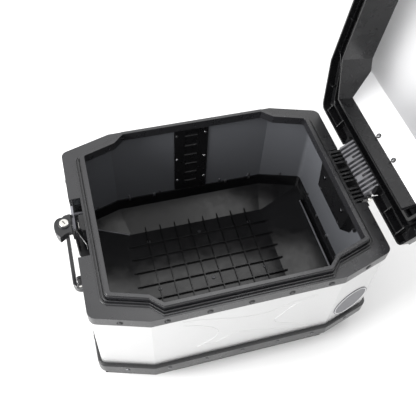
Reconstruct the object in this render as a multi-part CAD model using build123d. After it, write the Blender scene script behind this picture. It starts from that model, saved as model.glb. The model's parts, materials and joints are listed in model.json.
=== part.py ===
"""Hard luggage case with a bent aluminium wall, moulded rim, hinged lid, key lock and bail handle.

Millimetres, +Z up. The origin is the middle of the base plane that the feet stand on.
The hinge is on the +X end, the lock on the -X end, and the lid is stored swung open.
"""
import os
from math import atan2, cos, degrees, radians, sin, tan

from build123d import *

# ---- Overall sizes -------------------------------------------------------------------------
CASE_LENGTH = 480.0          # outside the rim, along X
CASE_WIDTH = 376.0           # outside the rim, along Y
FLANGE_Z = 250.0             # top of the rim flange above the feet
LONG_BEND_X = 153.4          # where each long side turns into a chamfer
END_BEND_Y = 161.0           # where each chamfer meets the end
END_CORNER_R = 13.0          # rounding of the four end corners
LID_OPEN_ANGLE = 96.0        # how far the stored lid has swung from closed

# ---- Wall build-up ---------------------------------------------------------------------------
SKIRT_T = 2.6                # rim and trim skirt outside the sheet
SHEET_T = 1.4
BAND_T = 2.2                 # moulded band inside the sheet
SHEET_INSET = SKIRT_T
BAND_INSET = SKIRT_T + SHEET_T
CAVITY_INSET = BAND_INSET + BAND_T
FLANGE_T = 3.0
SKIRT_DEPTH = 20.0
RIM_BAND_DEPTH = 16.0
SHEET_TOP_Z = FLANGE_Z - FLANGE_T
TRIM_TOP_Z = 78.0
TRIM_BOTTOM_Z = 54.0
TRIM_STAND_OUT = 3.5         # how far the lower trim stands out beyond the rim
SHEET_BOTTOM_Z = 46.0
TRAY_BAND_TOP_Z = 60.0

# ---- Seal lip: outer and inner outline corners in one quadrant ---------------------------
LIP_OUTER = [(133.0, 184.5), (150.5, 165.8), (219.0, 144.5)]
LIP_INNER = [(129.2, 169.8), (147.8, 152.2), (202.2, 134.7)]
LIP_CORNER_R = (15.0, 4.0)
LIP_HEIGHT = 13.5
# each rail runs between two shares of the lip's width, at a height above the flange
LIP_RAILS = [(0.0, 0.12, 2.2), (0.26, 0.38, 5.0), (0.50, 0.60, 11.5), (0.60, 1.0, LIP_HEIGHT)]

# ---- Base tray -----------------------------------------------------------------------------
FLOOR_Z = 11.0               # top of the floor
FLOOR_T = 3.0
TRAY_T = 3.0
RAMP_TOP_Z = 30.0
FLOOR_HALF_X = 142.0
FLOOR_HALF_Y = 126.0
FLOOR_RIB_T = 2.0
FLOOR_RIB_H = 4.5
CROSS_RIB_PITCH = 30.8
CROSS_RIBS = 8
CROSS_RIB_HALF = 135.0
LONG_RIB_PITCH = 31.4
LONG_RIBS = 7
LONG_RIB_HALF = 149.0
GUTTER_X = 229.2             # inner side of the gutter behind the ramp at the hinge end
GUTTER_FLOOR_Z = 21.0
GUTTER_HALF = 118.0
GUTTER_BEAD_R = 1.6
FOLD_BEAD_R = 1.3            # rounded bead where two ramps meet
FOOT_H = 8.0
FOOT_X = 118.0
FOOT_Y = 92.0
INSERT_X = 75.0
INSERT_Y = 60.0
INSERT_R = 4.5
INSERT_BORE_R = 3.0
INSERT_LENGTH = 8.0
INSERT_BOSS_R = 8.0
FLOOR_SCREW_X = (-107.8, 0.0, 107.8)
FLOOR_SCREW_Y = (-12.0, 101.0)

# ---- Rivets --------------------------------------------------------------------------------
RIVET_SHANK_R = 2.0
RIVET_HEAD_R = 3.6
RIVET_HEAD_T = 1.1
RIVET_PITCH = 64.5
END_RIVET_Y = 105.0
RIM_RIVET_Z = FLANGE_Z - 11.5
TRIM_RIVET_Z = 65.0
TRAY_CLIP_PITCH = 51.4

# ---- Back seam -----------------------------------------------------------------------------
SEAM_HALF = 33.0
SEAM_T = 2.0
SEAM_GAP = 1.0
LADDER_HALF = 12.5
LADDER_PITCH = 26.3
LADDER_STEPS = 6
LADDER_FIRST_Z = FLANGE_Z - 32.0
LADDER_RUNG = 3.0
SEAM_RIVET_X = 28.0
SEAM_RIVET_Z = (220.0, 154.0, 92.0)

# ---- Hinge ---------------------------------------------------------------------------------
HINGE_X = 248.0
HINGE_Z = FLANGE_Z + 1.0
PIN_R = 2.5
PIN_HALF = 59.0
KNUCKLE_R = 5.2
FIN_PITCH = 8.5
FIN_COUNT = 13
FIN_T = 3.4
BAR_T = 3.9
COMB_HALF = 61.0
COMB_ROOT_X = 220.0
JOINED_FINS = ((3, 4), (8, 9))
FIN_TOE_X = 219.6            # lid fins, closed: upper end beside the lip
FIN_TOE_Z = 8.6
FIN_HEEL_X = 238.5           # lower end, down between the bars of the case
FIN_HEEL_Z = -10.0
FIN_ROOT_LOW = 10.5
FIN_ROOT_END_X = 234.0
COMB_SEAT_X = 219.6
COMB_SEAT_H = 13.5
COMB_SCREW_X = 229.0
COMB_SCREW_GAPS = (1.5, 10.5)
BRACKET_BOTTOM_Z = 180.0
RECESS_DEPTH = 14.0
RECESS_SCREW_X = 231.0
LEDGE_X = 251.0              # outer edge of the comb's floor, under the pin
LEDGE_T = 2.5
CHEEK_X = 236.0              # black ends of the lid's root bar
CHEEK_LOW = 2.6
CHEEK_INNER_Y = 53.4
COVER_X = 217.0
COVER_TOP_Z = 226.0
COVER_BOTTOM_Z = 161.0
COVER_SCREW_Y = 38.0
COVER_SCREW_Z = 202.0
COVER_LOW_SCREW_Y = 40.0
COVER_LOW_SCREW_Z = 168.0
COVER_TAB_T = 3.0
COVER_TAB_Z = 184.0
COVER_TAB_SCREW_Y = 70.0

# ---- Lid, drawn closed -----------------------------------------------------------------------
LID_GAP = 0.4                # under the closed lid's skirt
LID_SKIRT_T = 3.0
LID_RIM_H = 20.0
LID_HALL_X = 188.5           # inner hollow, end wall
LID_HALL_CORNER = [(128.0, 156.0), (LID_HALL_X, 124.5)]
LID_WALL_T = 3.0
LID_WALL_TOP = 31.0
LID_FOLD_X = 148.0
LID_TOP = 62.0
LID_SHEET_T = 1.5
LID_SCREW_Y = (-32.0, 24.0)
CELL_Y0 = 99.0               # walled cells under the lid's deck, from and to along the end
CELL_Y1 = 142.0
CELL_OUTER_X = 232.5
CELL_INNER_X = 216.8
CELL_INNER_Z = 9.5
CELL_WALL_T = 1.8
LID_RIB_T = 2.0              # plain ribs under the deck along the long sides and the chamfers
LID_RIB_LOW = 6.2
LONG_RIB_LENGTH = 9.0
CHAMFER_RIB_LENGTH = 30.0
SEAL_SHARES = (0.64, 0.96)
SEAL_LOW = LIP_HEIGHT + 0.4
SEAL_HIGH = 18.0

# ---- Latch and lock ----------------------------------------------------------------------------
NOTCH_HALF = 57.0
NOTCH_X = -221.0
POCKET_BACK_X = -219.5
POCKET_FLOOR_Z = 200.0
POCKET_T = 2.2
LEVER_PIVOT_X = -243.5
LEVER_PIVOT_Z = 252.0
LEVER_PIN_R = 1.5
LEVER_FRONT_X = -240.7
LEVER_SHELL_H = 13.5
LEVER_EDGE_R = 2.0
LOCK_X = -251.5
LOCK_R = 7.0
LOCK_TOP_Z = FLANGE_Z + 18.5
BOLT_Z = 238.0
BOLT_Y = 10.0
BOLT_W = 12.0
BOLT_H = 4.0
BOLT_FRONT_X = -232.2
BOLT_REAR_X = -223.2
BOLT_CLEARANCE = 0.3
GUIDE_FRONT_X = -230.5       # block that guides the bolt
GUIDE_LOW_Z = 214.0
GUIDE_HALF = 16.0
STRIKER_X = -234.0
STRIKER_T = 1.4
STRIKER_HALF = 9.0
STRIKER_FOOT_X = -224.0
STRIKER_FOOT_Z = 13.4        # underside of the foot above the flange, lid closed
STRIKER_SCREW_X = -228.0
STRIKER_SCREW_HALF = 5.5
PLATE_FRONT_X = -239.4
PLATE_BACK_X = -235.3
PLATE_CAP_H = 5.4
PLATE_Y0 = -3.0
PLATE_Y1 = 43.5
LEVER_EAR_Y = (-13.0, 20.5)
LEVER_EAR_T = 3.5
EAR_SET_BACK = 1.9           # keeps the ears clear of the lever when it hangs closed
RELIEF_X = -233.0            # gap in the lid's skirt for the lever and its bracket
RELIEF_H = 12.0

# ---- Carry handle ------------------------------------------------------------------------------
HANDLE_HALF = 65.0
HANDLE_ARM_T = 8.0
HANDLE_PIVOT_X = -246.0
HANDLE_PIVOT_Z = 184.0
HANDLE_OUT_X = -258.8        # outside and inside of the grip
HANDLE_IN_X = -252.4
HANDLE_END_X = -241.8
HANDLE_TOP_Z = 170.0
HANDLE_LOW_Z = 157.0
HANDLE_CORNER_R = 14.0
HANDLE_PIN_R = 2.5

BADGE_R = 35.5
BADGE_Z = 122.0

SPRING_R = 0.8
SPRING_FOOT_Y = 35.0
RUN_CLEARANCE = 0.05         # radial, between a pin and the part that turns on it
EPS = 0.01

CHAMFER_ANGLE = atan2(CASE_WIDTH / 2 - END_BEND_Y, CASE_LENGTH / 2 - LONG_BEND_X)


# ---- Outlines and slabs --------------------------------------------------------------------------
def mirrored(quadrant):
    """Turn the corners of one quadrant, listed from the long side to the end, into a full outline."""
    right_back = quadrant
    right_front = [(x, -y) for x, y in reversed(quadrant)]
    left_front = [(-x, -y) for x, y in quadrant]
    left_back = [(-x, y) for x, y in reversed(quadrant)]
    return right_back + right_front + left_front + left_back


def case_quadrant(inset):
    """Corners of the case outline in one quadrant, moved in by inset."""
    bend_x = LONG_BEND_X - inset * tan(CHAMFER_ANGLE / 2)
    bend_y = END_BEND_Y - inset * tan(radians(45) - CHAMFER_ANGLE / 2)
    return [(bend_x, CASE_WIDTH / 2 - inset), (CASE_LENGTH / 2 - inset, bend_y)]


def lip_quadrant(share):
    """Corners of the lip at a share of its width: 0 is its outer edge and 1 the case's mouth."""
    pairs = zip(LIP_OUTER, LIP_INNER)
    return [(a[0] + (b[0] - a[0]) * share, a[1] + (b[1] - a[1]) * share) for a, b in pairs]


def prism(quadrant, low, high, corner_r=0.0):
    """A vertical prism on a four-way mirrored outline, with its end corners rounded."""
    face = make_face(Polyline(*mirrored(quadrant), close=True))
    if corner_r > 0:
        end_x = max(x for x, _ in quadrant)
        corners = face.vertices().filter_by(lambda v: abs(v.X) > end_x - EPS)
        face = fillet(corners, corner_r)
    return Pos(0, 0, low) * extrude(face, high - low)


def case_prism(inset, low, high):
    return prism(case_quadrant(inset), low, high, max(END_CORNER_R - inset, 1.5))


def case_ring(outer_inset, inner_inset, low, high):
    return case_prism(outer_inset, low, high) - case_prism(inner_inset, low - 1, high + 1)


def lip_prism(share, low, high):
    radius = LIP_CORNER_R[0] + (LIP_CORNER_R[1] - LIP_CORNER_R[0]) * share
    return prism(lip_quadrant(share), low, high, radius)


def lip_ring(outer_share, inner_share, low, high):
    return lip_prism(outer_share, low, high) - lip_prism(inner_share, low - 1, high + 1)


def block(x0, x1, y0, y1, z0, z1):
    """A box between two corners."""
    centre = Pos((x0 + x1) / 2, (y0 + y1) / 2, (z0 + z1) / 2)
    return centre * Box(abs(x1 - x0), abs(y1 - y0), abs(z1 - z0))


def rod(start, end, radius):
    """A cylinder between two points."""
    start = Vector(*start)
    end = Vector(*end)
    plane = Plane(origin=start, z_dir=(end - start).normalized())
    return extrude(plane * Circle(radius), (end - start).length)


def side_profile(points, y0, y1):
    """A shape drawn in the XZ plane and drawn out from y0 to y1."""
    plane = Plane(origin=(0, y0, 0), x_dir=(1, 0, 0), z_dir=(0, -1, 0))
    face = plane * make_face(Polyline(*points, close=True))
    return extrude(face, -(y1 - y0))


def group(shapes):
    """Separate solids kept together in one node."""
    solids = []
    for shape in shapes:
        solids.extend(shape.solids())
    return Compound(children=solids)


def screw(x, y, z, axis, head_r, head_h, shank_r, shank_l, socket_r):
    """A button-head screw: its head stands out along axis from the point, with a hex socket."""
    plane = Plane(origin=(x, y, z), z_dir=axis)
    head = extrude(plane * Circle(head_r), head_h)
    head = fillet(head.faces().sort_by(Axis(plane.origin, plane.z_dir))[-1].edges(), head_h * 0.45)
    shank = extrude(plane * Circle(shank_r), -shank_l)
    socket_plane = Plane(origin=plane.origin + plane.z_dir * head_h, z_dir=axis)
    socket = extrude(socket_plane * RegularPolygon(socket_r, 6), -head_h * 0.6)
    return head + shank - socket


# ---- Rivets --------------------------------------------------------------------------------------
def wall_stations(stand_out):
    """Plan places of the wall rivets: outside point and outward normal, all the way round."""
    half_y = CASE_WIDTH / 2 + stand_out
    stations = []
    for side in (-1, 1):
        for k in range(-2, 3):
            stations.append(((k * RIVET_PITCH, side * half_y), (0, side)))
    mid_x = (LONG_BEND_X + CASE_LENGTH / 2) / 2
    mid_y = (CASE_WIDTH / 2 + END_BEND_Y) / 2
    for sx in (-1, 1):
        for sy in (-1, 1):
            normal = (sx * sin(CHAMFER_ANGLE), sy * cos(CHAMFER_ANGLE))
            point = (sx * mid_x + stand_out * normal[0], sy * mid_y + stand_out * normal[1])
            stations.append((point, normal))
            stations.append(((sx * (CASE_LENGTH / 2 + stand_out), sy * END_RIVET_Y), (sx, 0)))
    return stations


def rivet(point, normal, z, length):
    """A dome-headed rivet through the wall, its second head on the inside."""
    outward = Vector(normal[0], normal[1], 0)
    outside = Vector(point[0], point[1], z)
    inside = outside - outward * length
    head = Plane(origin=outside, z_dir=outward) * Circle(RIVET_HEAD_R)
    tail = Plane(origin=inside, z_dir=-outward) * Circle(RIVET_HEAD_R * 0.8)
    shank = Plane(origin=outside, z_dir=-outward) * Circle(RIVET_SHANK_R)
    dome = extrude(head, RIVET_HEAD_T, taper=25)
    back = extrude(tail, RIVET_HEAD_T, taper=25)
    return dome + back + extrude(shank, length)


def rivet_row(z, length, stand_out=0.0):
    return [rivet(point, normal, z, length) for point, normal in wall_stations(stand_out)]


def seam_rivets():
    rivets = []
    for x in (-SEAM_RIVET_X, SEAM_RIVET_X):
        for z in SEAM_RIVET_Z:
            outside = CASE_WIDTH / 2 - SHEET_INSET + SEAM_T
            rivets.append(rivet((x, outside), (0, 1), z, SHEET_T + 2 * SEAM_T))
    return rivets


# ---- Case shell ------------------------------------------------------------------------------------
def pocket_window(low, high, margin=0.0):
    """The space cut through the latch wall for the latch pocket."""
    half = NOTCH_HALF + margin
    return block(-CASE_LENGTH / 2 - 5, NOTCH_X, -half, half, low, high)


def rim_frame(rivets):
    flange = case_prism(0, SHEET_TOP_Z, FLANGE_Z) - lip_prism(1, SHEET_TOP_Z - 1, FLANGE_Z + 1)
    skirt = case_ring(0, SKIRT_T, FLANGE_Z - SKIRT_DEPTH, SHEET_TOP_Z)
    band = case_ring(BAND_INSET, CAVITY_INSET, FLANGE_Z - RIM_BAND_DEPTH, SHEET_TOP_Z)
    frame = flange + skirt + band
    for outer, inner, height in LIP_RAILS:
        frame += lip_ring(outer, inner, SHEET_TOP_Z, FLANGE_Z + height)
    frame -= pocket_window(FLANGE_Z - SKIRT_DEPTH - 1, FLANGE_Z + 1)
    frame -= hinge_slots()
    for shape in rivets:
        frame -= shape
    return frame


def hinge_slots():
    """Room for the hinge comb: the flange and skirt are cut back to the comb's root."""
    return block(COMB_ROOT_X, CASE_LENGTH / 2 + 1, -COMB_HALF, COMB_HALF, FLANGE_Z - SKIRT_DEPTH - 1,
                 FLANGE_Z + 1)


def hinge_window():
    """Window in the sheet that the plate of the hinge bracket fills."""
    return block(CASE_LENGTH / 2 - 15, CASE_LENGTH / 2 + 1, -COMB_HALF, COMB_HALF, BRACKET_BOTTOM_Z,
                 FLANGE_Z + 1)


def body_sheet(rivets):
    sheet = case_ring(SHEET_INSET, BAND_INSET, SHEET_BOTTOM_Z, SHEET_TOP_Z)
    seam = block(-SEAM_GAP / 2, SEAM_GAP / 2, CASE_WIDTH / 2 - 10, CASE_WIDTH / 2 + 1,
                 SHEET_BOTTOM_Z - 1, SHEET_TOP_Z + 1)
    sheet -= seam
    sheet -= pocket_window(POCKET_FLOOR_Z - POCKET_T, SHEET_TOP_Z + 1, POCKET_T)
    sheet -= hinge_window()
    for shape in rivets:
        sheet -= shape
    return sheet


def lower_trim(rivets):
    trim = case_ring(-TRIM_STAND_OUT, SHEET_INSET, TRIM_BOTTOM_Z, TRIM_TOP_Z)
    edge = trim.faces().sort_by(Axis.Z)[-1].outer_wire().edges()
    trim = chamfer(edge, 2.0)
    for shape in rivets:
        trim -= shape
    return trim


def tray_core(inset, band_top, ramp_top, floor_half_x, floor_half_y, floor_z):
    """A solid like the tray's inside: an upright band above facets that run down to the floor."""
    upright = case_prism(inset, ramp_top, band_top)
    floor_quadrant = [(floor_half_x - 2, floor_half_y), (floor_half_x, floor_half_y - 2)]
    top_wire = Pos(0, 0, ramp_top) * Polyline(*mirrored(case_quadrant(inset)), close=True)
    low_wire = Pos(0, 0, floor_z) * Polyline(*mirrored(floor_quadrant), close=True)
    funnel = loft([make_face(low_wire), make_face(top_wire)], ruled=True)
    return upright + funnel


def base_tray():
    outside = tray_core(BAND_INSET, TRAY_BAND_TOP_Z, RAMP_TOP_Z - 1.5, FLOOR_HALF_X + 6,
                        FLOOR_HALF_Y + 6, FLOOR_Z - FLOOR_T)
    inside = tray_core(CAVITY_INSET, TRAY_BAND_TOP_Z + 1, RAMP_TOP_Z, FLOOR_HALF_X, FLOOR_HALF_Y,
                       FLOOR_Z)
    tray = outside - inside + gutter_body()
    ribs = floor_ribs() & tray_core(CAVITY_INSET - 0.5, TRAY_BAND_TOP_Z, RAMP_TOP_Z, FLOOR_HALF_X + 3,
                                    FLOOR_HALF_Y + 3, FLOOR_Z - 1.5)
    tray += ribs
    for x in (-INSERT_X, INSERT_X):
        for y in (-INSERT_Y, INSERT_Y):
            tray += Pos(x, y, INSERT_LENGTH / 2) * Cylinder(INSERT_BOSS_R, INSERT_LENGTH)
            tray -= Pos(x, y, INSERT_LENGTH / 2) * Cylinder(INSERT_R, INSERT_LENGTH)
    for shape in floor_screws():
        tray -= shape
    return tray - gutter()


def gutter():
    """Channel between the hinge-end ramp and the upright band."""
    return block(GUTTER_X, CASE_LENGTH / 2 - CAVITY_INSET, -GUTTER_HALF, GUTTER_HALF, GUTTER_FLOOR_Z,
                 RAMP_TOP_Z + 1)


def gutter_body():
    """Walls and floor of the gutter, and the beads along it and along the ramps' folds."""
    wall_x = CASE_LENGTH / 2 - BAND_INSET
    body = block(GUTTER_X - TRAY_T, wall_x, -GUTTER_HALF - TRAY_T, GUTTER_HALF + TRAY_T,
                 GUTTER_FLOOR_Z - TRAY_T, RAMP_TOP_Z - 1)
    bead_x = GUTTER_X - GUTTER_BEAD_R
    body += rod((bead_x, -GUTTER_HALF, RAMP_TOP_Z - 1), (bead_x, GUTTER_HALF, RAMP_TOP_Z - 1),
                GUTTER_BEAD_R)
    corner_x, corner_y = case_quadrant(CAVITY_INSET + 4)[1]
    for side in (-1, 1):
        low = (-FLOOR_HALF_X + 1, side * (FLOOR_HALF_Y - 1), FLOOR_Z)
        high = (-corner_x, side * corner_y, RAMP_TOP_Z - 1)
        body += rod(low, high, FOLD_BEAD_R)
    return body


def tray_clips():
    """Small bright clips hooked over the top of the tray's band, on all four sides."""
    clips = []
    for side in (-1, 1):
        wall_y = side * (CASE_WIDTH / 2 - BAND_INSET)
        wall_x = side * (CASE_LENGTH / 2 - BAND_INSET)
        inner_y = wall_y - side * (BAND_T + 1.0)
        inner_x = wall_x - side * (BAND_T + 1.0)
        for k in range(6):
            x = (k - 2.5) * TRAY_CLIP_PITCH
            cap = block(x - 2.5, x + 2.5, wall_y, inner_y, TRAY_BAND_TOP_Z, TRAY_BAND_TOP_Z + 1.2)
            leg = block(x - 2.5, x + 2.5, inner_y + side, inner_y, TRAY_BAND_TOP_Z - 5, TRAY_BAND_TOP_Z)
            if abs(x) > SEAM_HALF or side < 0:
                clips.append(cap + leg)
        for k in range(5):
            y = (k - 2) * TRAY_CLIP_PITCH
            cap = block(wall_x, inner_x, y - 2.5, y + 2.5, TRAY_BAND_TOP_Z, TRAY_BAND_TOP_Z + 1.2)
            leg = block(inner_x + side, inner_x, y - 2.5, y + 2.5, TRAY_BAND_TOP_Z - 5, TRAY_BAND_TOP_Z)
            clips.append(cap + leg)
    return clips


def floor_ribs():
    low = FLOOR_Z - 1
    high = FLOOR_Z + FLOOR_RIB_H
    ribs = []
    for k in range(CROSS_RIBS):
        x = (k - (CROSS_RIBS - 1) / 2) * CROSS_RIB_PITCH
        ribs.append(block(x - FLOOR_RIB_T / 2, x + FLOOR_RIB_T / 2, -CROSS_RIB_HALF, CROSS_RIB_HALF,
                          low, high))
    for k in range(LONG_RIBS):
        y = (k - (LONG_RIBS - 1) / 2) * LONG_RIB_PITCH
        ribs.append(block(-LONG_RIB_HALF, LONG_RIB_HALF, y - FLOOR_RIB_T / 2, y + FLOOR_RIB_T / 2,
                          low, high))
    grid = ribs[0]
    for rib in ribs[1:]:
        grid += rib
    return grid


def floor_screws():
    screws = []
    for x in FLOOR_SCREW_X:
        for y in FLOOR_SCREW_Y:
            screws.append(screw(x, y, FLOOR_Z, (0, 0, 1), 3.6, 2.0, 2.0, FLOOR_T, 1.6))
    return screws


def base_inserts():
    inserts = []
    for x in (-INSERT_X, INSERT_X):
        for y in (-INSERT_Y, INSERT_Y):
            place = Pos(x, y, INSERT_LENGTH / 2)
            inserts.append(place * (Cylinder(INSERT_R, INSERT_LENGTH)
                                    - Cylinder(INSERT_BORE_R, INSERT_LENGTH)))
    return inserts


def feet():
    pads = []
    for x in (-FOOT_X, FOOT_X):
        for y in (-FOOT_Y, FOOT_Y):
            pad = Pos(x, y, FOOT_H / 2) * Box(34, 22, FOOT_H)
            pad = fillet(pad.edges().filter_by(Axis.Z), 6)
            pads.append(chamfer(pad.faces().sort_by(Axis.Z)[0].edges(), 1.5))
    return pads


def seam_strip_inner(rivets):
    low = TRAY_BAND_TOP_Z
    high = FLANGE_Z - RIM_BAND_DEPTH
    wall = CASE_WIDTH / 2 - BAND_INSET
    strip = block(-SEAM_HALF, SEAM_HALF, wall - SEAM_T, wall, low, high)
    for k in range(LADDER_STEPS):
        ledge = LADDER_FIRST_Z - k * LADDER_PITCH
        top = min(ledge + LADDER_PITCH - LADDER_RUNG, high - LADDER_RUNG)
        strip -= block(-LADDER_HALF, LADDER_HALF, wall - SEAM_T - 1, wall - 0.8, ledge, top)
    for shape in rivets:
        strip -= shape
    return strip


def seam_strip_outer(rivets):
    wall = CASE_WIDTH / 2 - SHEET_INSET
    strip = block(-SEAM_HALF, SEAM_HALF, wall, wall + SEAM_T, TRIM_TOP_Z, FLANGE_Z - SKIRT_DEPTH)
    for shape in rivets:
        strip -= shape
    return strip


# ---- Hinge ---------------------------------------------------------------------------------------
def fin_y(index):
    """Middle of a lid fin, counted from the back."""
    return ((FIN_COUNT - 1) / 2 - index) * FIN_PITCH


def hinge_bracket():
    """Comb on the case: a plate on the wall, bars between the lid fins, and two screw recesses."""
    wall_x = CASE_LENGTH / 2 - SHEET_INSET
    low = FLANGE_Z - SKIRT_DEPTH
    plate = block(wall_x - SHEET_T - BAND_T, CASE_LENGTH / 2, -COMB_HALF, COMB_HALF,
                  BRACKET_BOTTOM_Z, low)
    root = block(COMB_ROOT_X, COMB_ROOT_X + 3, -COMB_HALF, COMB_HALF, low, FLANGE_Z)
    floor_z = FLANGE_Z - RECESS_DEPTH
    floor = side_profile([(COMB_ROOT_X, floor_z), (LEDGE_X, floor_z), (LEDGE_X, floor_z - LEDGE_T),
                          (CASE_LENGTH / 2, low), (COMB_ROOT_X, low)], -COMB_HALF, COMB_HALF)
    bracket = plate + root + floor
    bar_points = [(COMB_ROOT_X, FLANGE_Z), (HINGE_X, HINGE_Z + 1), (HINGE_X, HINGE_Z - KNUCKLE_R),
                  (CASE_LENGTH / 2, low), (COMB_ROOT_X, low)]
    joined = [pair[0] for pair in JOINED_FINS]
    for index in range(FIN_COUNT - 1):
        if index in joined:
            continue
        y = fin_y(index + 0.5)
        bracket += side_profile(bar_points, y - BAR_T / 2, y + BAR_T / 2)
        bracket += rod((HINGE_X, y - BAR_T / 2, HINGE_Z), (HINGE_X, y + BAR_T / 2, HINGE_Z), KNUCKLE_R)
    end_inner = fin_y(0) + FIN_T / 2 + 0.35
    for side in (-1, 1):
        y0, y1 = sorted((side * end_inner, side * (end_inner + 4.5)))
        bracket += side_profile(bar_points, y0, y1)
        bracket += rod((HINGE_X, y0, HINGE_Z), (HINGE_X, y1, HINGE_Z), KNUCKLE_R)
    bracket -= rod((HINGE_X, -COMB_HALF - 5, HINGE_Z), (HINGE_X, COMB_HALF + 5, HINGE_Z), PIN_R)
    for shape in bracket_screws() + hinge_cover_screws():
        bracket -= shape
    return bracket


def bracket_screws():
    """One screw standing in each of the comb's two wide recesses."""
    screws = []
    for first, second in JOINED_FINS:
        y = (fin_y(first) + fin_y(second)) / 2
        screws.append(screw(RECESS_SCREW_X, y, FLANGE_Z - RECESS_DEPTH, (0, 0, 1), 3.4, 2.4, 2.0, 5.5,
                            1.6))
    return screws


def hinge_pin():
    return rod((HINGE_X, -PIN_HALF, HINGE_Z), (HINGE_X, PIN_HALF, HINGE_Z), PIN_R)


def pin_clips():
    """A bright cap pressed against each end of the hinge pin."""
    clips = []
    for side in (-1, 1):
        cap = rod((HINGE_X, side * PIN_HALF, HINGE_Z), (HINGE_X, side * (PIN_HALF + 2.5), HINGE_Z), 4.4)
        clips.append(fillet(cap.faces().sort_by(Axis.Y)[0 if side < 0 else -1].edges(), 1.0))
    return clips


def hinge_cover():
    """Bevelled box inside the hinge wall, over the nuts of the hinge."""
    wall_x = CASE_LENGTH / 2 - CAVITY_INSET
    back_half_top, back_half_low = 68.0, 60.0
    front_half_top, front_half_low = 62.0, 53.0
    hollow_half = 50.0
    back = Plane(origin=(wall_x, 0, 0), x_dir=(0, 1, 0), z_dir=(1, 0, 0))
    front = Plane(origin=(COVER_X, 0, 0), x_dir=(0, 1, 0), z_dir=(1, 0, 0))
    back_face = back * make_face(Polyline((-back_half_top, COVER_TOP_Z), (back_half_top, COVER_TOP_Z),
                                          (back_half_low, COVER_BOTTOM_Z - 4),
                                          (-back_half_low, COVER_BOTTOM_Z - 4), close=True))
    front_face = front * make_face(Polyline((-front_half_top, COVER_TOP_Z), (front_half_top, COVER_TOP_Z),
                                            (front_half_low, COVER_BOTTOM_Z + 3),
                                            (-front_half_low, COVER_BOTTOM_Z + 3), close=True))
    cover = loft([front_face, back_face], ruled=True)
    cover -= block(COVER_X + 2.5, wall_x + 1, -hollow_half, hollow_half, COVER_BOTTOM_Z + 6,
                   COVER_TOP_Z - 3)
    for side in (-1, 1):
        cover += block(wall_x - COVER_TAB_T, wall_x, side * 58, side * 74, COVER_TAB_Z - 6,
                       COVER_TAB_Z + 6)
    for shape in hinge_cover_screws():
        cover -= shape
    return cover


def hinge_cover_screws():
    screws = []
    wall_x = CASE_LENGTH / 2 - CAVITY_INSET
    for side in (-1, 1):
        screws.append(screw(COVER_X, side * COVER_SCREW_Y, COVER_SCREW_Z, (-1, 0, 0), 4.6, 3.0, 2.5,
                            CASE_LENGTH / 2 - COVER_X - 0.5, 2.3))
        screws.append(screw(COVER_X, side * COVER_LOW_SCREW_Y, COVER_LOW_SCREW_Z, (-1, 0, 0), 2.2, 1.2,
                            1.2, 10, 1.0))
        screws.append(screw(wall_x - COVER_TAB_T, side * COVER_TAB_SCREW_Y, COVER_TAB_Z, (-1, 0, 0), 2.6,
                            1.8, 1.5, 2.8, 1.2))
    return screws


# ---- Lid, drawn closed and swung open afterwards ---------------------------------------------------
def swung_open(shape):
    """Turn a shape drawn on the closed lid to the stored open pose."""
    return shape.rotate(Axis((HINGE_X, 0, HINGE_Z), (0, 1, 0)), LID_OPEN_ANGLE)


def hall_quadrant(grow):
    """Corners of the lid's inner hollow in one quadrant, grown outward."""
    (x0, y0), (x1, y1) = LID_HALL_CORNER
    angle = atan2(y0 - y1, x1 - x0)
    return [(x0 + grow * tan(angle / 2), y0 + grow),
            (x1 + grow, y1 + grow * tan(radians(45) - angle / 2))]


def lid_roof(lower_by, low):
    """The space under the folded lid skin, its top lowered, from low (above the flange) upward."""
    top = FLANGE_Z + LID_TOP - lower_by
    eave = FLANGE_Z + LID_WALL_TOP - lower_by
    slope = (LID_TOP - LID_WALL_TOP) / (LID_HALL_X - LID_FOLD_X)
    reach = 12.0
    points = [(-LID_FOLD_X, top), (LID_FOLD_X, top), (LID_HALL_X + reach, eave - slope * reach),
              (LID_HALL_X + reach, FLANGE_Z + low), (-LID_HALL_X - reach, FLANGE_Z + low),
              (-LID_HALL_X - reach, eave - slope * reach)]
    return side_profile(points, -CASE_WIDTH / 2, CASE_WIDTH / 2)


def lid_frame():
    bottom = FLANGE_Z + LID_GAP
    rim_top = FLANGE_Z + LID_RIM_H
    wall_outer = hall_quadrant(LID_WALL_T)
    hollow = prism(hall_quadrant(0), bottom - 5, FLANGE_Z + LID_TOP + 5)
    skirt = case_ring(0, LID_SKIRT_T, bottom, rim_top)
    deck_low = make_face(Pos(0, 0, rim_top) * Polyline(*mirrored(case_quadrant(0)), close=True))
    deck_high = make_face(Pos(0, 0, rim_top + 9) * Polyline(*mirrored(wall_outer), close=True))
    cap = loft([deck_low, deck_high], ruled=True)
    under_low = make_face(Pos(0, 0, rim_top - 4) * Polyline(*mirrored(case_quadrant(LID_SKIRT_T)),
                                                            close=True))
    under_high = make_face(Pos(0, 0, rim_top + 6) * Polyline(*mirrored(wall_outer), close=True))
    under = loft([under_low, under_high], ruled=True)
    collar = case_ring(0, LID_SKIRT_T, rim_top - 4, rim_top)
    deck = cap + case_prism(0, rim_top - 4, rim_top) - under + collar
    wall = prism(wall_outer, bottom + 1, FLANGE_Z + LID_TOP) & lid_roof(LID_SHEET_T, 0)
    frame = skirt + deck + wall
    frame += seal_channel() + lid_ribs() + lid_bosses()
    frame -= hollow
    frame -= prism(wall_outer, rim_top, FLANGE_Z + LID_TOP + 1) - lid_roof(LID_SHEET_T, 0)
    frame -= latch_relief()
    frame -= comb_seat()
    for shape in lid_comb_screws() + lid_striker_screws() + [lid_striker()]:
        frame -= shape
    return frame


def under_deck():
    """The room under the lid's deck, between its skirt and its inner wall."""
    high = FLANGE_Z + LID_RIM_H + 1
    return case_prism(LID_SKIRT_T - 0.5, FLANGE_Z + LID_GAP, high) - prism(hall_quadrant(0.5), FLANGE_Z,
                                                                         high + 1)


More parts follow.
